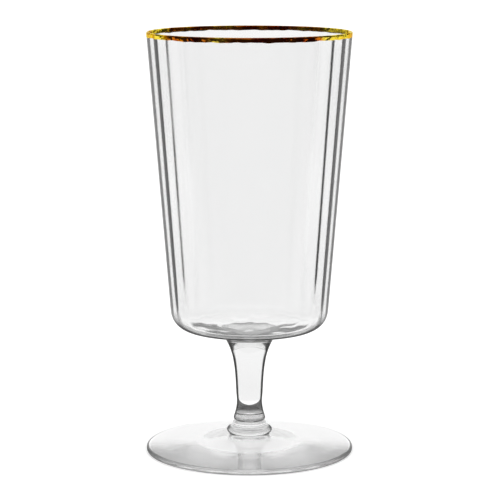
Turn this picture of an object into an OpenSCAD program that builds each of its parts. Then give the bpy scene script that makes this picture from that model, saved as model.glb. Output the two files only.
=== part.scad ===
// Footed beer goblet: a blown bowl with an inside optic, a solid stem, a pressed foot and a gilded lip.
// Origin at the middle of the ground that the foot stands on, +Z up, millimetres.

/* [Bowl] */
// Outside diameter of the glass at the lip
rim_d = 80; // [74:1:90]
// Height of the bowl, from its seat on the stem to the lip
bowl_h = 119.5; // [100:0.5:140]
// Diameter that the straight wall would reach at the height of the seat
base_d = 60.6; // [54:0.2:68]
// Height that the underside gains between the seat and the wall
base_rise = 3.6; // [2:0.1:5]
// Radius of the heel, outside, where the wall turns into the base
heel_r = 8; // [5:0.5:11]
// Thickness of the wall
wall = 1.35; // [1.2:0.05:2.4]
// Radius of the inside corner between the wall and the floor
floor_corner_r = 6.5; // [5:0.5:9]
// Thickness of the glass in the middle of the floor
floor_t = 3; // [2.6:0.1:5]
// Height that the floor gains between its middle and the wall
floor_rise = 1.2; // [0.4:0.1:3]

/* [Inside waves] */
// Number of upright waves round the inside of the wall
waves = 29; // [20:1:32]
// Depth of a wave
wave_depth = 0.3; // [0.1:0.01:0.35]
// Width of a wave
wave_w = 4.8; // [3:0.1:5]
// Gap between the gilding inside and the top of the waves
wave_top_gap = 0.4; // [0.2:0.1:5]
// Gap between the seat's height and the bottom of the waves
wave_bottom_gap = 12; // [11:0.5:30]
// Length over which a wave fades out at the top
wave_top_fade = 1.6; // [1:0.1:10]
// Length over which a wave fades out at the bottom
wave_bottom_fade = 24; // [10:1:50]

/* [Stem] */
// Length of the stem between the foot's boss and the bowl's seat
stem_h = 34.5; // [28:0.5:60]
// Diameter of the joint between the stem and the bowl
seat_d = 21; // [19:0.5:23]
// Diameter at which the two slopes of the waist would meet
waist_d = 9.5; // [8:0.1:10.5]
// Height of the waist above the foot's boss
waist_h = 5.8; // [5:0.1:8]
// Radius of the hollow curve at the waist
waist_r = 12.5; // [6:0.5:16]
// Diameter of the shaft where it turns into the top flare
neck_d = 12.3; // [11.6:0.1:14]
// Distance of that turn below the bowl's seat
neck_drop = 8; // [7.6:0.1:10]
// Radius of the top flare
top_flare_r = 34; // [10:1:36]
// Diameter of the joint between the stem and the foot's boss
joint_d = 11.5; // [10:0.1:12]
// Diameter of the stem's lower end, above the joint
stem_end_d = 12.9; // [12.4:0.1:14]
// Height of that end above the joint
stem_end_h = 0.6; // [0.5:0.1:1.2]
// Radius of the rounded edge at that end
stem_end_r = 0.5; // [0.2:0.1:0.6]

/* [Foot] */
// Diameter of the foot
foot_d = 82; // [70:1:90]
// Height of the boss that carries the stem
foot_h = 12; // [11.4:0.2:16]
// Height at which the foot's slope would meet the groove below the bead
foot_slope_h = 6; // [4.5:0.1:6.5]
// Diameter of that groove
groove_d = 15.2; // [14.4:0.2:16.4]
// Radius of the curve from the slope into the bead
groove_r = 0.6; // [0.3:0.1:0.8]
// Diameter at which the two slopes of the bead would meet
bead_d = 18.7; // [17.9:0.2:19.9]
// Distance of the bead's widest place below the top of the boss
bead_drop = 3.6; // [3.2:0.1:4]
// Radius of the bead's round edge
bead_r = 1; // [0.4:0.1:1.2]
// Diameter of the ring on the bead, which carries the stem
ring_d = 13.5; // [13:0.1:14.5]
// Height of that ring
ring_h = 2; // [1.6:0.1:2]
// Radius of the ring's upper edge, and of the corner at its foot
ring_r = 0.5; // [0.2:0.1:0.6]
// Thickness of the foot's edge
edge_t = 2; // [1.6:0.1:2.6]
// Width of the flat ring that the foot stands on
rest_w = 5; // [3:0.5:10]
// Depth of the hollow below the foot, in its middle
hollow_depth = 3.2; // [0.6:0.1:3.6]

/* [Gilding] */
// Height of the gilding outside, from the top of the lip
band_h = 1.8; // [1.2:0.1:4]
// Height of the gilding inside, from the top of the lip
band_in_h = 1.4; // [1.2:0.1:4]
// Thickness of the gilding
gold_t = 0.08; // [0.05:0.01:0.15]

/* [Hidden] */
$fn = 180;

// Steps of each rounded corner
corner_steps = 10;

// Rounding of the lip against the wall, and of the foot's edge against its thickness
lip_round_share = 0.42;
edge_round_share = 0.45;

// Drop of the ring's upper edge below the joint, against the ring's height
ring_edge_share = 0.2;

// Flat steps across one wave
wave_steps = 4;

// Angle of a wave's cutter against the angle of the wave itself
wave_span_share = 1.12;

// How far a cutter's ends stand clear of the wall, in wave depths
wave_clear_share = 0.25;

// How far each run of a cutter reaches into the next
overrun = 0.1;

// Direction of the front, where one wave is centred
front = -90;

// Heights of the two joints, of the floor's middle and of the lip
boss_z = foot_h;
seat_z = boss_z + stem_h;
floor_z = seat_z + floor_t;
lip_z = seat_z + bowl_h;

rim_r = rim_d / 2;
base_r = base_d / 2;
seat_r = seat_d / 2;
joint_r = joint_d / 2;
foot_r = foot_d / 2;
lip_r = wall * lip_round_share;
edge_r = edge_t * edge_round_share;

// Lean of the wall, with the thicknesses of the wall and the gilding measured level
lean = atan((rim_r - base_r) / bowl_h);
wall_level = wall / cos(lean);
gold_level = gold_t / cos(lean);

// Radius of the wall's outside, and of its inside, at a height
function wall_r(z) = base_r + (z - seat_z) * tan(lean);
function inside_r(z) = wall_r(z) - wall_level;

function unit(v) = v / norm(v);

// Arc of radius r that rounds the corner b on the way from a to c
function rounded(a, b, c, r) =
    let (
        back = unit(a - b),
        on = unit(c - b),
        half = acos(back * on) / 2,
        centre = b + unit(back + on) * r / sin(half),
        start = b + back * r / tan(half) - centre,
        finish = b + on * r / tan(half) - centre,
        from = atan2(start.y, start.x),
        turn = atan2(cross(start, finish), start * finish)
    )
    [for (i = [0 : corner_steps])
        let (angle = from + turn * i / corner_steps)
        centre + r * [cos(angle), sin(angle)]];

function reversed(points) = [for (i = [len(points) - 1 : -1 : 0]) points[i]];

// Edge of the joint between the foot's boss and the stem
joint_edge = [joint_r, boss_z];

// Corners of the bowl's section: the seat, the heel and the lip outside, the lip and the floor inside
seat_edge = [seat_r, seat_z];
heel = [wall_r(seat_z + base_rise), seat_z + base_rise];
lip_out = [rim_r, lip_z];
lip_in = [inside_r(lip_z), lip_z];
floor_edge = [inside_r(floor_z + floor_rise), floor_z + floor_rise];
floor_middle = [0, floor_z];

// The lip's two rounded edges, which the gilding covers
lip_out_arc = rounded(heel, lip_out, lip_in, lip_r);
lip_in_arc = rounded(lip_out, lip_in, floor_edge, lip_r);

// Stretch of the inside wall that carries the waves, and its radius half way up
wave_top_z = lip_z - band_in_h - wave_top_gap;
wave_bottom_z = seat_z + wave_bottom_gap;
wave_length = (wave_top_z - wave_bottom_z) / cos(lean);
wave_mid_r = inside_r((wave_top_z + wave_bottom_z) / 2) / cos(lean);

// Radius that gives a wave its width and depth in the curved wall, and the angle that it spans
wave_r = 1 / (1 / wave_mid_r + 8 * wave_depth / pow(wave_w, 2));
wave_span = 2 * asin(wave_w / 2 / wave_r) * wave_span_share;

// Section of a wave's cutter: a slice with its tip on the wave's axis and its round side at x = 0
wave_section = concat([[-wave_r, 0]],
                      [for (i = [0 : wave_steps])
                          let (turn = wave_span * (i / wave_steps - 0.5))
                          wave_r * [cos(turn) - 1, sin(turn)]]);

// Part of a cutter along the wall, over which its depth in the wall changes evenly
module wave_run(from, to, from_depth, to_depth) {
    slant = atan((to_depth - from_depth) / (to - from));
    translate([from_depth, 0, from])
        rotate([0, slant, 0])
            translate([0, 0, -overrun])
                linear_extrude((to - from) / cos(slant) + 2 * overrun)
                    polygon(wave_section);
}

// One wave's cutter, standing on the inside of the wall: it fades in, runs level and fades out
module wave_cutter() {
    fade_start = wave_length - wave_top_fade;
    clear_depth = -wave_depth * wave_clear_share;
    wave_run(0, wave_bottom_fade, clear_depth, wave_depth);
    wave_run(wave_bottom_fade, fade_start, wave_depth, wave_depth);
    wave_run(fade_start, wave_length, wave_depth, clear_depth);
}

// The blown cup: rounded heel outside, dished floor, waves on the inside of the wall
module bowl() {
    color("#eef3f2")
        difference() {
            rotate_extrude()
                polygon(concat([[0, seat_z], seat_edge],
                               rounded(seat_edge, heel, lip_out, heel_r),
                               lip_out_arc,
                               lip_in_arc,
                               rounded(lip_in, floor_edge, floor_middle, floor_corner_r),
                               [floor_middle]));
            for (i = [0 : waves - 1])
                rotate(front + i * 360 / waves)
                    translate([inside_r(wave_bottom_z), 0, wave_bottom_z])
                        rotate([0, lean, 0])
                            wave_cutter();
        }
}

// The solid stem: a rounded end on the foot's boss, a waist, and a flare up to the bowl's seat
module stem() {
    stem_end = [stem_end_d / 2, boss_z + stem_end_h];
    waist = [waist_d / 2, boss_z + waist_h];
    neck = [neck_d / 2, seat_z - neck_drop];
    color("#e8eeed")
        rotate_extrude()
            polygon(concat([[0, boss_z], joint_edge],
                           rounded(joint_edge, stem_end, waist, stem_end_r),
                           rounded(stem_end, waist, neck, waist_r),
                           rounded(waist, neck, seat_edge, top_flare_r),
                           [seat_edge, [0, seat_z]]));
}

// The pressed foot: a flat ring to stand on, a hollow inside it, a slope up, and a bead below the stem
module foot() {
    ring_top = [ring_d / 2, boss_z - ring_h * ring_edge_share];
    ring_foot = [ring_d / 2, boss_z - ring_h];
    bead = [bead_d / 2, boss_z - bead_drop];
    slope_top = [groove_d / 2, foot_slope_h];
    edge_top = [foot_r, edge_t];
    edge_bottom = [foot_r, 0];
    rest_inside = [foot_r - edge_r - rest_w, 0];
    color("#f2f6f5")
        rotate_extrude()
            polygon(concat([[0, hollow_depth], rest_inside],
                           rounded(rest_inside, edge_bottom, edge_top, edge_r),
                           rounded(edge_bottom, edge_top, slope_top, edge_r),
                           rounded(edge_top, slope_top, bead, groove_r),
                           rounded(slope_top, bead, ring_foot, bead_r),
                           rounded(bead, ring_foot, ring_top, ring_r),
                           rounded(ring_foot, ring_top, joint_edge, ring_r),
                           [joint_edge, [0, boss_z]]));
}

// The fired gilding: a thin skin over the lip, from a height outside to a height inside
module gold_rim() {
    out_z = lip_z - band_h;
    in_z = lip_z - band_in_h;
    skin_r = lip_r + gold_t;
    skin_out_end = [wall_r(out_z) + gold_level, out_z];
    skin_out = [rim_r + gold_level + gold_t * tan(lean), lip_z + gold_t];
    skin_in = [lip_in.x - gold_level + gold_t * tan(lean), lip_z + gold_t];
    skin_in_end = [inside_r(in_z) - gold_level, in_z];
    color("goldenrod")
        rotate_extrude()
            polygon(concat([skin_out_end],
                           rounded(skin_out_end, skin_out, skin_in, skin_r),
                           rounded(skin_out, skin_in, skin_in_end, skin_r),
                           [skin_in_end, [inside_r(in_z), in_z]],
                           reversed(lip_in_arc),
                           reversed(lip_out_arc),
                           [[wall_r(out_z), out_z]]));
}

bowl();
stem();
foot();
gold_rim();
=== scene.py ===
import math

import bpy
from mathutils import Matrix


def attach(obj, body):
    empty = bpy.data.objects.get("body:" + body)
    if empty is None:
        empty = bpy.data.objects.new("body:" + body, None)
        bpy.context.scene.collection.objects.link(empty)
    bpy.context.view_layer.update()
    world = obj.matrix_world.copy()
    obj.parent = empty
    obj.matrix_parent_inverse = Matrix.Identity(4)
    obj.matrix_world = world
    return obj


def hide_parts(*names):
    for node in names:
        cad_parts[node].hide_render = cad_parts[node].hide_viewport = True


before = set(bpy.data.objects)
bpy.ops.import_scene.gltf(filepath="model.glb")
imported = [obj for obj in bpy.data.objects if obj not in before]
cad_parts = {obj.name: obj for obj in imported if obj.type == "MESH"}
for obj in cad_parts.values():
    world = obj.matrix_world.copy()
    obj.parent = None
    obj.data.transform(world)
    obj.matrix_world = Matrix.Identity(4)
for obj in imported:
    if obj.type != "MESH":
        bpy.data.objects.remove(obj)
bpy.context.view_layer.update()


# The foot
# A disc of clear glass, pressed hot in a mould, with a ring over a rounded bead in its middle, where the
# stem is fused on. Its edge is fire polished, and it stands on a narrow ring round a hollow.
MM = 0.001
foot_r = 41.0
edge_t = 2.0
edge_r = 0.9
rest_w = 0.8
hollow_depth = 3.4
joint_r = 5.6
boss_z = 12.0
slope_r = 14.0
slope_z = 5.45
bead_and_ring = [(11.6, 5.65), (9.6, 5.85), (8.5, 6.05), (7.95, 6.35), (8.1, 6.75), (8.6, 7.3),
                 (8.9, 7.9), (8.85, 8.5), (8.4, 9.05), (7.5, 9.5), (6.88, 9.85), (6.66, 10.3),
                 (6.7, 10.8), (6.5, 11.3), (6.05, 11.7)]
hollow_form = [(7.0, 3.0), (12.0, 2.15), (16.0, 1.25), (19.5, 0.72), (23.5, 0.5), (28.0, 0.34),
               (34.0, 0.14)]
foot_sides = 240
foot_line_steps = 5
foot_slope_steps = 8
edge_arc_steps = 8

white = (1.0, 1.0, 1.0, 1.0)
black = (0.0, 0.0, 0.0, 1.0)
glass_tint = (0.994, 0.996, 0.996, 1.0)
glass_ior = 1.5
cloud_scale = 90.0
cloud_detail = 2.0
ripple_scale = 260.0
ripple_detail = 1.0
ripple_strength = 0.02
ripple_h = 0.5
even_blend = 0.5
mirror_range = (0.5, 1.0)

# Painted shade on the foot's glass: where black is mixed in, how steeply it is seen there, and how much.
rim_band_r = (foot_r - 1.3, foot_r - 0.6)
# The edge's lower side takes a painted contact shadow.
contact_shadow_r = (foot_r - 1.0, foot_r - 0.7)
contact_shadow_z = (0.2, 1.0)
round_edge_r = (foot_r - 1.1, foot_r - 0.7)
round_edge_slant = (0.35, 0.75)
bead_from_z = (6.2, 6.7)
bead_to_z = (9.2, 9.7)
bead_slant = (0.45, 0.75)
underside_shade = 0.03
rim_shade = 0.8
edge_shade = 0.62
bead_shade = 0.85
dulled_to_z = (3.5, 3.9)
dulled_roughness = 0.1


def rounded(before, corner, after, radius, steps):
    """Arc that rounds a corner of an outline, between the points before and after it."""
    to_back = (before[0] - corner[0], before[1] - corner[1])
    to_on = (after[0] - corner[0], after[1] - corner[1])
    back = [part / math.hypot(*to_back) for part in to_back]
    on = [part / math.hypot(*to_on) for part in to_on]
    half = math.acos(back[0] * on[0] + back[1] * on[1]) / 2
    middle = (back[0] + on[0], back[1] + on[1])
    reach = radius / math.sin(half) / math.hypot(*middle)
    centre = [corner[i] + middle[i] * reach for i in (0, 1)]
    start = [corner[i] + back[i] * radius / math.tan(half) - centre[i] for i in (0, 1)]
    finish = [corner[i] + on[i] * radius / math.tan(half) - centre[i] for i in (0, 1)]
    turn = math.atan2(start[0] * finish[1] - start[1] * finish[0],
                      start[0] * finish[0] + start[1] * finish[1])
    first = math.atan2(start[1], start[0])
    return [(centre[0] + radius * math.cos(first + turn * i / steps),
             centre[1] + radius * math.sin(first + turn * i / steps)) for i in range(steps + 1)]


def through(stations, steps):
    """Smooth line through the given points of an outline, which it includes."""
    line = [stations[0]]
    ends = [stations[0]] + stations + [stations[-1]]
    for before, start, finish, after in zip(ends, ends[1:], ends[2:], ends[3:]):
        for i in range(1, steps + 1):
            t = i / steps
            line.append(tuple(
                (2 * start[k] + (finish[k] - before[k]) * t
                 + (2 * before[k] - 5 * start[k] + 4 * finish[k] - after[k]) * t ** 2
                 + (3 * start[k] - before[k] - 3 * finish[k] + after[k]) * t ** 3) / 2 for k in (0, 1)))
    return line


def straight(start, finish, steps):
    """Points between two corners of an outline, without the corners themselves."""
    return [(start[0] + (finish[0] - start[0]) * i / steps,
             start[1] + (finish[1] - start[1]) * i / steps) for i in range(1, steps)]


def turned(name, outline, sides, joint_heights=(), worked=None):
    """Solid of revolution from an outline of radius and height in millimetres.

    The level faces at joint_heights take the second material. worked moves a point of the
    turned surface: it takes angle, radius, height and the point's order in the outline."""
    points = []
    rings = []
    for order, (radius, height) in enumerate(outline):
        count = sides if radius > 0 else 1
        rings.append(range(len(points), len(points) + count))
        for i in range(count):
            angle = 2 * math.pi * i / sides
            r, z = worked(angle, radius, height, order) if worked else (radius, height)
            points.append((r * math.cos(angle) * MM, r * math.sin(angle) * MM, z * MM))
    faces = []
    slots = []
    pairs = zip(rings, rings[1:] + rings[:1], outline, outline[1:] + outline[:1])
    for lower, upper, (_, low_z), (_, high_z) in pairs:
        if len(lower) == 1 and len(upper) == 1:
            continue
        level_joint = low_z == high_z and low_z in joint_heights
        for i in range(sides):
            on = (i + 1) % sides
            corners = [lower[i % len(lower)], lower[on % len(lower)],
                       upper[on % len(upper)], upper[i % len(upper)]]
            faces.append(list(dict.fromkeys(corners)))
            slots.append(int(level_joint))
    mesh = bpy.data.meshes.new(name)
    mesh.from_pydata(points, [], faces)
    mesh.polygons.foreach_set("material_index", slots)
    mesh.polygons.foreach_set("use_smooth", [True] * len(faces))
    mesh.update()
    around = {}
    for face in mesh.polygons:
        for edge in face.edge_keys:
            around.setdefault(edge, set()).add(face.material_index)
    for edge in mesh.edges:
        edge.use_edge_sharp = len(around[edge.key]) > 1
    piece = bpy.data.objects.new(name, mesh)
    bpy.context.scene.collection.objects.link(piece)
    return piece


class Wire:
    """A socket in a node tree. Sums of wires and numbers add the Math nodes that work them out."""

    def __init__(self, tree, socket=None):
        self.tree = tree
        self.socket = socket

    def node(self, kind, settings, sockets, out=0):
        """New node of a kind, with its settings made first and then its sockets set or linked."""
        made = self.tree.nodes.new(kind)
        for key, value in settings.items():
            if key == "stops":
                ramp = made.color_ramp
                while len(ramp.elements) < len(value):
                    ramp.elements.new(1.0)
                for element, (position, colour) in zip(ramp.elements, value):
                    element.position = position
                    element.color = colour
            else:
                setattr(made, key, value)
        for key, value in sockets.items():
            if isinstance(value, Wire):
                self.tree.links.new(value.socket, made.inputs[key])
            else:
                made.inputs[key].default_value = value
        return Wire(self.tree, made.outputs[out] if len(made.outputs) else None)

    def maths(self, operation, first, second=0.0):
        """Math node on wires or numbers, for what has no operator."""
        return self.node("ShaderNodeMath", {"operation": operation}, {0: first, 1: second})

    def __add__(self, other):
        return self.maths("ADD", self, other)

    def __radd__(self, other):
        return self.maths("ADD", other, self)

    def __sub__(self, other):
        return self.maths("SUBTRACT", self, other)

    def __rsub__(self, other):
        return self.maths("SUBTRACT", other, self)

    def __mul__(self, other):
        return self.maths("MULTIPLY", self, other)

    def __rmul__(self, other):
        return self.maths("MULTIPLY", other, self)

    def within(self, low, high):
        """0 below low, 1 above high, with a smooth step between."""
        return self.node("ShaderNodeMapRange", {"interpolation_type": "SMOOTHSTEP"},
                         {"Value": self, "From Min": low, "From Max": high})

    def past(self, lengths):
        """The same step between two lengths in millimetres, for a wire that carries metres."""
        return self.within(lengths[0] * MM, lengths[1] * MM)


def new_material(name):
    """Empty material, and a wire to add its nodes with."""
    material = bpy.data.materials.new(name)
    material.use_nodes = True
    material.node_tree.nodes.clear()
    return material, Wire(material.node_tree)


def own_place(wire):
    """Place of a spot in the object's own frame, in metres."""
    return wire.node("ShaderNodeTexCoord", {}, {}, "Object")


def along(wire, place, axis):
    """How far a place or a direction reaches along X, Y or Z."""
    return wire.node("ShaderNodeSeparateXYZ", {}, {"Vector": place}, axis)


def off_axis(wire, place):
    """How far a place is from the upright axis of the glass."""
    level = wire.node("ShaderNodeVectorMath", {"operation": "MULTIPLY"}, {0: place, 1: (1.0, 1.0, 0.0)})
    return wire.node("ShaderNodeVectorMath", {"operation": "LENGTH"}, {0: level}, "Value")


def mottled(wire, place, scale, detail):
    """Soft irregular patches from 0 to 1, about so many to the metre."""
    return wire.node("ShaderNodeTexNoise", {},
                     {"Vector": place, "Scale": scale, "Detail": detail}, "Fac")


def clear_glass(name, painted_shade, roughness=None):
    """Colourless glass: polished, faintly clouded and rippled, with painted shade mixed in as black.

    The second argument gives the share of painted black at a spot, from how steeply it is seen,
    whether it is seen from inside the glass, how much it mirrors there, and where it is."""
    material, wire = new_material(name)
    place = own_place(wire)
    cloud = mottled(wire, place, cloud_scale, cloud_detail)
    ripple = mottled(wire, place, ripple_scale, ripple_detail)
    body = wire.node("ShaderNodeMix", {"data_type": "RGBA"},
                     {"Factor": cloud, "A": glass_tint, "B": white}, "Result")
    bump = wire.node("ShaderNodeBump", {},
                     {"Height": ripple, "Strength": ripple_strength, "Distance": ripple_h * MM})
    clear = wire.node("ShaderNodeBsdfPrincipled", {},
                      {"Base Color": body, "Roughness": roughness(wire, place) if roughness else 0.0,
                       "IOR": glass_ior, "Transmission Weight": 1.0, "Normal": bump})
    painted_black = wire.node("ShaderNodeBsdfDiffuse", {}, {"Color": black})
    steep = wire.node("ShaderNodeLayerWeight", {}, {"Blend": even_blend}, "Facing")
    mirrored = wire.node("ShaderNodeFresnel", {}, {"IOR": glass_ior}).within(*mirror_range)
    inside = wire.node("ShaderNodeNewGeometry", {}, {}, "Backfacing")
    share = painted_shade(wire, steep, inside, mirrored, place)
    # Painted shade: black is mixed into the clear glass by that share.
    shader = wire.node("ShaderNodeMixShader", {}, {0: share, 1: clear, 2: painted_black})
    wire.node("ShaderNodeOutputMaterial", {}, {"Surface": shader})
    return material


def foot_painted_shade(wire, steep, inside, mirrored, place):
    """Painted shade on the fire polished edge and the bead's sides, a painted contact shadow along the
    edge's lower side, and a little painted shade on the underside.
    """
    radius = off_axis(wire, place)
    height = along(wire, place, "Z")
    at_rim = radius.past(rim_band_r)
    contact_shadow = radius.past(contact_shadow_r) * (1 - height.past(contact_shadow_z))
    round_edge = radius.past(round_edge_r) * steep.within(*round_edge_slant)
    on_edge = (1 - inside) * wire.maths("MAXIMUM", contact_shadow, round_edge) * edge_shade
    on_bead = height.past(bead_from_z) * (1 - height.past(bead_to_z))
    bead_side = on_bead * (1 - inside) * steep.within(*bead_slant) * bead_shade
    return inside * mirrored * (underside_shade + at_rim * rim_shade) + on_edge + bead_side


def foot_roughness(wire, place):
    """The underside is a little dulled by standing."""
    return dulled_roughness - along(wire, place, "Z").past(dulled_to_z) * dulled_roughness


edge_top = (foot_r, edge_t)
edge_bottom = (foot_r, 0.0)
rest_inside = (foot_r - edge_r - rest_w, 0.0)
slope_top = (slope_r, slope_z)
boss_edge = (joint_r, boss_z)
boss_middle = (0.0, boss_z)
hollow_top = (0.0, hollow_depth)
boss_line = through([slope_top] + bead_and_ring + [boss_edge], foot_line_steps)
hollow_line = through([hollow_top] + hollow_form + [rest_inside], foot_line_steps)
foot_outline = (hollow_line
                + rounded(rest_inside, edge_bottom, edge_top, edge_r, edge_arc_steps)
                + rounded(edge_bottom, edge_top, slope_top, edge_r, edge_arc_steps)
                + straight(edge_top, slope_top, foot_slope_steps)[1:]
                + boss_line + [boss_middle])

# Where two gathers of glass were fused hot there is no surface left, so nothing shows there.
fused_joint, wire = new_material("fused_joint")
no_surface = wire.node("ShaderNodeBsdfPrincipled", {}, {"Alpha": 0.0})
wire.node("ShaderNodeOutputMaterial", {}, {"Surface": no_surface})

foot = turned("foot_disc", foot_outline, foot_sides, (boss_z,))
foot.data.materials.append(clear_glass("foot_glass", foot_painted_shade, foot_roughness))
foot.data.materials.append(fused_joint)
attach(foot, "root")
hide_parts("foot")


# The stem
# A solid gather of clear glass, drawn out hot to a waist and left to flare at both ends.
# It is fused to the foot's boss below and carries the bowl on its flared top.
seat_r = 10.5
seat_z = 46.5
stem_form = [(5.95, 12.25), (6.22, 12.6), (6.26, 13.0), (6.05, 13.85), (5.79, 14.7), (5.5, 15.7),
             (5.26, 16.9), (5.06, 18.2), (4.98, 19.6), (5.06, 21.2), (5.2, 22.8), (5.33, 25.0),
             (5.47, 28.0), (5.66, 30.6), (5.9, 33.1), (6.25, 35.4), (6.62, 37.5), (7.1, 39.3),
             (7.7, 41.1), (8.35, 42.6), (9.2, 44.3)]
stem_sides = 180
stem_line_steps = 6

# Painted shade on the stem's glass: where black is mixed in, how steeply it is seen there, and how much.
# The flares turn the far side towards or away from the eye, and each takes off some of the painted
# shade.
lower_flare_z = (16.0, 20.0)
lower_flare_turn = 0.14
lower_flare_gain = 0.12
lower_lip_z = (13.3, 15.0)
lower_lip_gain = 0.38
top_flare_z = (36.0, 42.0)
top_flare_turn = 0.07
under_seat_z = (42.0, 43.5)
under_seat_gain = 0.2
far_slant = (0.15, 0.185)
far_shade = 0.98
least_far_shade = 0.06
near_slant = (0.45, 0.65)
near_shade = 0.75
# The groove above the boss and the seam under the seat take painted dark rings.
groove_z = (13.0, 14.2)
groove_shade = 0.5
seam_z = (45.2, 46.1)
seam_shade = 0.55
from_second = (1.5, 2.5)


def light_path(wire, kind):
    """What the light has done on its way to the eye."""
    return wire.node("ShaderNodeLightPath", {}, {}, kind)


def has_met(wire, depth):
    """1 where the light has met that kind of surface, and 0 where it has not."""
    return wire.maths("MINIMUM", light_path(wire, depth), 1.0)


def stem_painted_shade(wire, steep, inside, mirrored, place):
    """Painted shade on the solid stem: where light leaves its far side at a slant, where its near side
    is seen at a slant, and as dark rings at the groove and the seam.

    That holds for the stem's own view, and not where it is seen through the bowl or the foot."""
    height = along(wire, place, "Z")
    lower_flare = 1 - height.past(lower_flare_z)
    lower_lip = 1 - height.past(lower_lip_z)
    under_seat = height.past(under_seat_z)
    slant = steep + lower_flare * lower_flare_turn - height.past(top_flare_z) * top_flare_turn
    far_shade_amount = (far_shade - lower_flare * lower_flare_gain - lower_lip * lower_lip_gain
            - under_seat * under_seat_gain)
    far_side = wire.maths("MAXIMUM", slant.within(*far_slant) * far_shade_amount, least_far_shade)
    groove = (1 - height.past(groove_z)) * groove_shade
    seam = height.past(seam_z) * seam_shade
    near_side = wire.maths("MAXIMUM", steep.within(*near_slant) * near_shade, groove + seam)
    crossed = light_path(wire, "Transmission Depth").within(*from_second)
    own_view = 1 - wire.maths("MAXIMUM", crossed, has_met(wire, "Transparent Depth"))
    return own_view * (inside * far_side + (1 - inside) * near_side)


seat_edge = (seat_r, seat_z)
seat_middle = (0.0, seat_z)
stem_line = through([boss_edge] + stem_form + [seat_edge], stem_line_steps)
stem = turned("drawn_stem", [boss_middle] + stem_line + [seat_middle], stem_sides, (boss_z, seat_z))
stem.data.materials.append(clear_glass("stem_glass", stem_painted_shade))
stem.data.materials.append(fused_joint)
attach(stem, "root")
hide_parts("stem")


# The bowl
# A blown cup of clear glass with a straight tapered wall, a rounded heel and a dished floor. Its ribbed
# mould left twenty-nine shallow upright waves inside, and its underside was worked by hand at the seat.
rim_r = 40.0
lip_z = 166.0
wall_base_r = 30.3
wall_t = 1.35
lip_round_r = 0.567
heel_r = 8.0
base_rise = 3.6
floor_t = 3.0
floor_rise = 1.2
floor_corner_r = 6.5
base_steps = 20
heel_steps = 24
outer_wall_steps = 10
lip_steps = 8
inner_wall_steps = 72
corner_steps = 20
floor_steps = 10

waves = 29
wave_slope = 0.149
wave_turn = math.radians(0.5)
wave_rise_z = (46.0, 76.0)
wave_start_z = (51.0, 57.0)
wave_uneven = 0.02
uneven_run = 9.0
uneven_swing = 3.0
uneven_times = 4
sides_a_wave = 12
bowl_sides = waves * sides_a_wave

# The tool's marks under the base: share, times round, turn, and run outwards in millimetres.
tool_marks = [(1.0, 4, 1.0, 4.0), (0.6, 7, 2.0, -3.0)]
tool_h = 0.28
tool_from_r = (11.0, 14.0)
tool_to_r = (25.0, 18.0)
sag_h = 0.03
sag_from_r = (0.0, 6.0)
sag_to_r = (21.0, 8.0)
sag_run = 2.2
sag_swing = 1.3
sag_turn = 0.6

# Painted shade on the bowl's glass: where black is mixed in, how steeply it is seen there, and how much.
# The heel's outside is told from the corner inside it by a line across the wall.
wall_from_z = (57.0, 64.0)
side_from_z = (52.0, 58.0)
side_slant = (0.72, 0.85)
side_shade = 0.52
heel_line_lean = 0.75
heel_line = (-11.8, -11.2)
heel_to_z = (51.0, 57.0)
heel_slant = (0.6, 0.78)
heel_shade = 0.75
base_shade = 0.35
wave_shade = 0.51
wave_slant = (0.28, 0.36)
wave_gain = 0.22

lean = math.atan((rim_r - wall_base_r) / (lip_z - seat_z))
wall_level = wall_t / math.cos(lean)
slope = math.tan(lean)


def smooth_step(low, high, value):
    """0 at low, 1 at high and smooth between. high may be the smaller one."""
    share = min(max((value - low) / (high - low), 0.0), 1.0)
    return share * share * (3 - 2 * share)


def wall_radius(height):
    """Outer radius of the tapered wall."""
    return wall_base_r + (height - seat_z) * slope


heel_z = seat_z + base_rise
heel = (wall_radius(heel_z), heel_z)
lip_out = (rim_r, lip_z)
lip_in = (rim_r - wall_level, lip_z)
floor_z = seat_z + floor_t
floor_edge_z = floor_z + floor_rise
floor_edge = (wall_radius(floor_edge_z) - wall_level, floor_edge_z)
floor_middle = (0.0, floor_z)

heel_arc = rounded(seat_edge, heel, lip_out, heel_r, heel_steps)
lip_out_arc = rounded(heel, lip_out, lip_in, lip_round_r, lip_steps)
lip_in_arc = rounded(lip_out, lip_in, floor_edge, lip_round_r, lip_steps)
floor_arc = rounded(lip_in, floor_edge, floor_middle, floor_corner_r, corner_steps)
outer_line = ([seat_middle, seat_edge] + straight(seat_edge, heel_arc[0], base_steps) + heel_arc
              + straight(heel_arc[-1], lip_out_arc[0], outer_wall_steps) + lip_out_arc)
inner_line = (lip_in_arc + straight(lip_in_arc[-1], floor_arc[0], inner_wall_steps) + floor_arc
              + straight(floor_arc[-1], floor_middle, floor_steps) + [floor_middle])


def waved(angle, radius, height, order):
    """Waves inside the wall, a rippled floor, and an underside that was worked by hand at the seat."""
    if order < len(outer_line) and height < heel_z and radius > seat_r:
        marks = sum(share * math.sin(times * angle + turn + radius / run)
                    for share, times, turn, run in tool_marks)
        worked = tool_h * smooth_step(*tool_from_r, radius) * smooth_step(*tool_to_r, radius)
        return radius, height + worked * marks
    if order < len(outer_line) + len(lip_in_arc) - 1 or radius == 0:
        return radius, height
    from_front = (angle + math.pi / 2 - wave_turn) * waves
    swing = uneven_swing * math.sin(angle * uneven_times)
    uneven = 1 + wave_uneven * math.cos(angle) + wave_uneven * math.sin(height / uneven_run + swing)
    depth = wave_slope * uneven * radius / waves * (1 + math.cos(from_front))
    fade = smooth_step(*wave_rise_z, height) * smooth_step(*wave_start_z, height)
    sag = (sag_h * smooth_step(*sag_to_r, radius) * smooth_step(*sag_from_r, radius)
           * math.sin(radius / sag_run + sag_swing * math.cos(angle + sag_turn)))
    return radius + depth * fade, height + sag


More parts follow.
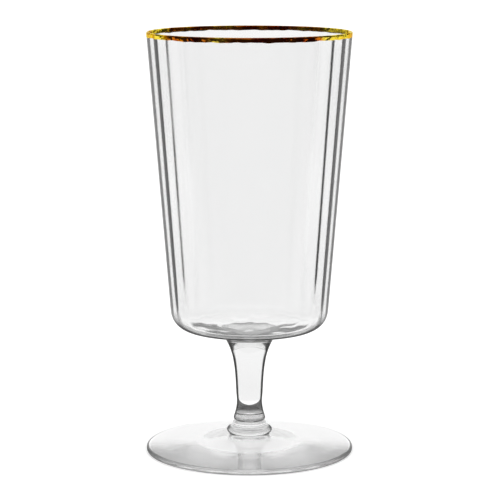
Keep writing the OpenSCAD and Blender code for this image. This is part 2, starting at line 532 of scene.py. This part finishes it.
def bowl_painted_shade(wire, steep, inside, mirrored, place):
    """Painted shade where the wall and the heel are seen edge on, and where the glass mirrors inside it,
    more so on the wall's waves.
    """
    radius = off_axis(wire, place)
    height = along(wire, place, "Z")
    on_wall = height.past(wall_from_z)
    on_side = height.past(side_from_z)
    on_heel = (radius - height * heel_line_lean).past(heel_line) * (1 - height.past(heel_to_z))
    at_edge = wire.maths("MAXIMUM", steep.within(*side_slant) * on_side * side_shade,
                         steep.within(*heel_slant) * on_heel * heel_shade) * (1 - inside)
    on_flank = on_wall * (wave_shade - steep.within(*wave_slant) * wave_gain)
    return at_edge + inside * mirrored * (base_shade + on_flank)


bowl = turned("blown_bowl", outer_line + inner_line, bowl_sides, (seat_z,), waved)
bowl.data.materials.append(clear_glass("bowl_glass", bowl_painted_shade))
bowl.data.materials.append(fused_joint)
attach(bowl, "root")
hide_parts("bowl")


# The gilding
# A narrow band of bright gold, brushed by hand over the lip and fired on. Its edges wander a little.
# Its colour runs in patches from brown to yellow, and towards both sides it is painted more yellow, a
# painted reflection of the bright room.
gold_t = 0.08
band_h = 1.8
band_in_h = 1.4
gold_edge_share = 0.7
gold_edge_r = gold_t * gold_edge_share
gold_sides = 480
gold_arc_steps = 10
gold_edge_steps = 4
gold_out_steps = 6
gold_in_steps = 5

# How the brush wandered: share, times round, turn, and how far the turn differs between the two edges.
brush_marks = [(1.0, 7, 0.4, 0.0), (1.0, 16, 2.1, 0.0), (1.0, 29, 0.0, 1.0), (0.7, 53, 0.0, 3.0)]
edge_wander = 0.07
outer_wander = 1.0
inner_wander = 0.6

gold_shades = [(0.38, (0.3, 0.03, 0.004, 1.0)),
               (0.54, (0.7, 0.2, 0.015, 1.0)),
               (0.68, (1.0, 0.76, 0.08, 1.0))]
gold_glint = (1.0, 0.95, 0.35, 1.0)
patch_scale = 110.0
brush_scale = 130.0
gold_detail = 3.0
side_glint_x = (20.0, 34.0)
side_glint_gain = 0.16
brush_h = 4.0
brush_range = (0.4, 0.65)
gold_roughness = 0.1
brush_roughness = 0.25

gold_level = gold_t / math.cos(lean)
out_z = lip_z - band_h
in_z = lip_z - band_in_h
skin_r = lip_round_r + gold_t
glass_out_end = (wall_radius(out_z), out_z)
glass_in_end = (wall_radius(in_z) - wall_level, in_z)
skin_out_end = (wall_radius(out_z) + gold_level, out_z)
skin_out = (rim_r + gold_level + gold_t * slope, lip_z + gold_t)
skin_in = (lip_in[0] - gold_level + gold_t * slope, lip_z + gold_t)
skin_in_end = (wall_radius(in_z) - wall_level - gold_level, in_z)
skin_out_arc = rounded(skin_out_end, skin_out, skin_in, skin_r, gold_arc_steps)
skin_in_arc = rounded(skin_out, skin_in, skin_in_end, skin_r, gold_arc_steps)
out_edge = rounded(glass_out_end, skin_out_end, skin_out, gold_edge_r, gold_edge_steps)
in_edge = rounded(skin_in, skin_in_end, glass_in_end, gold_edge_r, gold_edge_steps)
gold_outline = ([glass_out_end] + out_edge + straight(out_edge[-1], skin_out_arc[0], gold_out_steps)
                + skin_out_arc + skin_in_arc + straight(skin_in_arc[-1], in_edge[0], gold_in_steps)
                + in_edge + [glass_in_end] + lip_in_arc[::-1] + lip_out_arc[::-1])


def hand_brushed(angle, radius, height, order):
    """The brush left the lower edges a little uneven, more so outside than inside."""
    low = 1 - smooth_step(out_z, lip_z - skin_r, height)
    side = outer_wander if radius > rim_r - wall_level / 2 else inner_wander
    marks = sum(share * math.sin(angle * times + turn + apart * side)
                for share, times, turn, apart in brush_marks)
    wander = marks * edge_wander * side * low
    return radius + wander * slope, height + wander


gold, wire = new_material("bright_gold")
place = own_place(wire)
patch = mottled(wire, place, patch_scale, gold_detail)
# Painted reflection: the gold is made more yellow towards both sides, across X.
side_glint = wire.maths("ABSOLUTE", along(wire, place, "X")).past(side_glint_x)
patches_and_glint = patch + side_glint * side_glint_gain
colour = wire.node("ShaderNodeValToRGB", {"stops": gold_shades}, {"Fac": patches_and_glint}, "Color")
brushed = mottled(wire, place, brush_scale, gold_detail)
bump = wire.node("ShaderNodeBump", {}, {"Height": brushed, "Strength": 1.0, "Distance": brush_h * MM})
roughness = gold_roughness + brushed.within(*brush_range) * brush_roughness
metal = wire.node("ShaderNodeBsdfPrincipled", {},
                  {"Base Color": colour, "Metallic": 1.0, "Specular Tint": gold_glint,
                   "Roughness": roughness, "Normal": bump})
wire.node("ShaderNodeOutputMaterial", {}, {"Surface": metal})

gilding = turned("fired_gilding", gold_outline, gold_sides, (), hand_brushed)
gilding.data.materials.append(gold)
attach(gilding, "root")
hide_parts("gold_rim")


# The table
# A plain white table that runs out of sight and shows the light of the room, with a painted pool of
# light round the glass's foot that shows only through the glass and in reflections.
# What the glass and the gold mirror of its front, towards the camera, is left dark.
table_half = 6000.0
table_colour = (0.8, 0.8, 0.8, 1.0)
unlit_colour = (0.03, 0.03, 0.03, 1.0)
eye_glow = 0.42
glass_glow = 0.2
# Painted light: seen through the glass or mirrored, the table glows more round the glass's foot.
pool_glow = 0.36
pool_r = (40.0, 120.0)
mirrored_front_y = (-250.0, 0.0)
crossed_front_y = (-200.0, 200.0)
side_x = (120.0, 250.0)
side_to_y = (250.0, 450.0)
trapped_share = 0.5


def trapped_light(wire):
    """Light that was mirrored again and again inside the glass: half at the second time, then all."""
    return light_path(wire, "Glossy Depth").within(*from_second) * has_met(wire, "Transmission Depth")


table_corners = [(-table_half, -table_half), (table_half, -table_half),
                 (table_half, table_half), (-table_half, table_half)]
table_mesh = bpy.data.meshes.new("table")
table_mesh.from_pydata([(x * MM, y * MM, 0.0) for x, y in table_corners], [], [(0, 1, 2, 3)])
table = bpy.data.objects.new("table", table_mesh)
bpy.context.scene.collection.objects.link(table)

table_white, wire = new_material("white_table")
place = own_place(wire)
across = wire.maths("ABSOLUTE", along(wire, place, "X"))
away = along(wire, place, "Y")
pool_under_glass = 1 - off_axis(wire, place).past(pool_r)
by_eye = light_path(wire, "Is Camera Ray")
by_glass = wire.maths("MAXIMUM", light_path(wire, "Is Transmission Ray"),
                      light_path(wire, "Is Glossy Ray"))
# The glow near the glass's foot is a painted pool of light.
glow = by_eye * eye_glow + by_glass * (glass_glow + pool_under_glass * pool_glow)
matt = wire.node("ShaderNodeBsdfDiffuse", {}, {"Color": table_colour})
shown = wire.node("ShaderNodeEmission", {}, {"Color": glow})
lit = wire.node("ShaderNodeAddShader", {}, {0: matt, 1: shown})
unlit = wire.node("ShaderNodeEmission", {}, {"Color": unlit_colour})
crossed = has_met(wire, "Transmission Depth")
at_side = across.past(side_x) * (1 - away.past(side_to_y))
lit_part = (away.past(mirrored_front_y) * (1 - crossed)
            + away.past(crossed_front_y) * (1 - at_side) * crossed)
dark_front = (1 - lit_part) * has_met(wire, "Glossy Depth") * (1 - trapped_light(wire) * trapped_share)
top = wire.node("ShaderNodeMixShader", {}, {0: dark_front, 1: lit, 2: unlit})
wire.node("ShaderNodeOutputMaterial", {}, {"Surface": top})
table.data.materials.append(table_white)


# The room
# A white room that lights the glass softly from all sides. What is mirrored finds its front, behind the
# camera, dark but for a softbox overhead, and what is seen through the glass finds a dimmer ceiling.
ceiling_z = (0.65, 0.95)
ceiling_loss = 0.35
softbox_z = (0.7, 0.95)
softbox_share = 0.5
mirrored_lit_y = (0.5, 0.95)
crossed_lit_y = (0.55, 0.95)
front_loss = 0.97
bounces = 48

room = bpy.data.worlds.new("white_room")
bpy.context.scene.world = room
room.use_nodes = True
room.cycles.sampling_method = "NONE"
room.node_tree.nodes.clear()
wire = Wire(room.node_tree)
direction = wire.node("ShaderNodeTexCoord", {}, {}, "Generated")
up = along(wire, direction, "Z")
away = along(wire, direction, "Y")
crossed = has_met(wire, "Transmission Depth")
lit_part = away.within(*mirrored_lit_y) * (1 - crossed) + away.within(*crossed_lit_y) * crossed
softbox = up.within(*softbox_z) * softbox_share
front = (1 - lit_part) * (1 - softbox) * (1 - trapped_light(wire) * trapped_share) * front_loss
ceiling = up.within(*ceiling_z) * ceiling_loss
dark = wire.maths("MAXIMUM", light_path(wire, "Is Transmission Ray") * ceiling,
                  has_met(wire, "Glossy Depth") * front)
brightness = 1 - dark * (1 - has_met(wire, "Diffuse Depth"))
background = wire.node("ShaderNodeBackground", {}, {"Color": brightness})
wire.node("ShaderNodeOutputWorld", {}, {"Surface": background})

cycles = bpy.context.scene.cycles
cycles.max_bounces = bounces
cycles.glossy_bounces = bounces
cycles.transmission_bounces = bounces
cycles.transparent_max_bounces = bounces


# The camera
# A long lens in front of the glass, a little higher than its lip and tilted down to it,
# as the photograph was taken.
lens = 153.0
sensor_w = 36.0
shift = 0.0011
camera_place = (0.0, -0.825, 0.2166)
look_down = 9.38

camera_data = bpy.data.cameras.new("camera")
camera_data.lens = lens
camera_data.sensor_width = sensor_w
camera_data.shift_x = shift
camera = bpy.data.objects.new("camera", camera_data)
camera.location = camera_place
camera.rotation_euler = (math.radians(90 - look_down), 0.0, 0.0)
bpy.context.scene.collection.objects.link(camera)
bpy.context.scene.camera = camera
bpy.context.scene.view_settings.view_transform = "Standard"
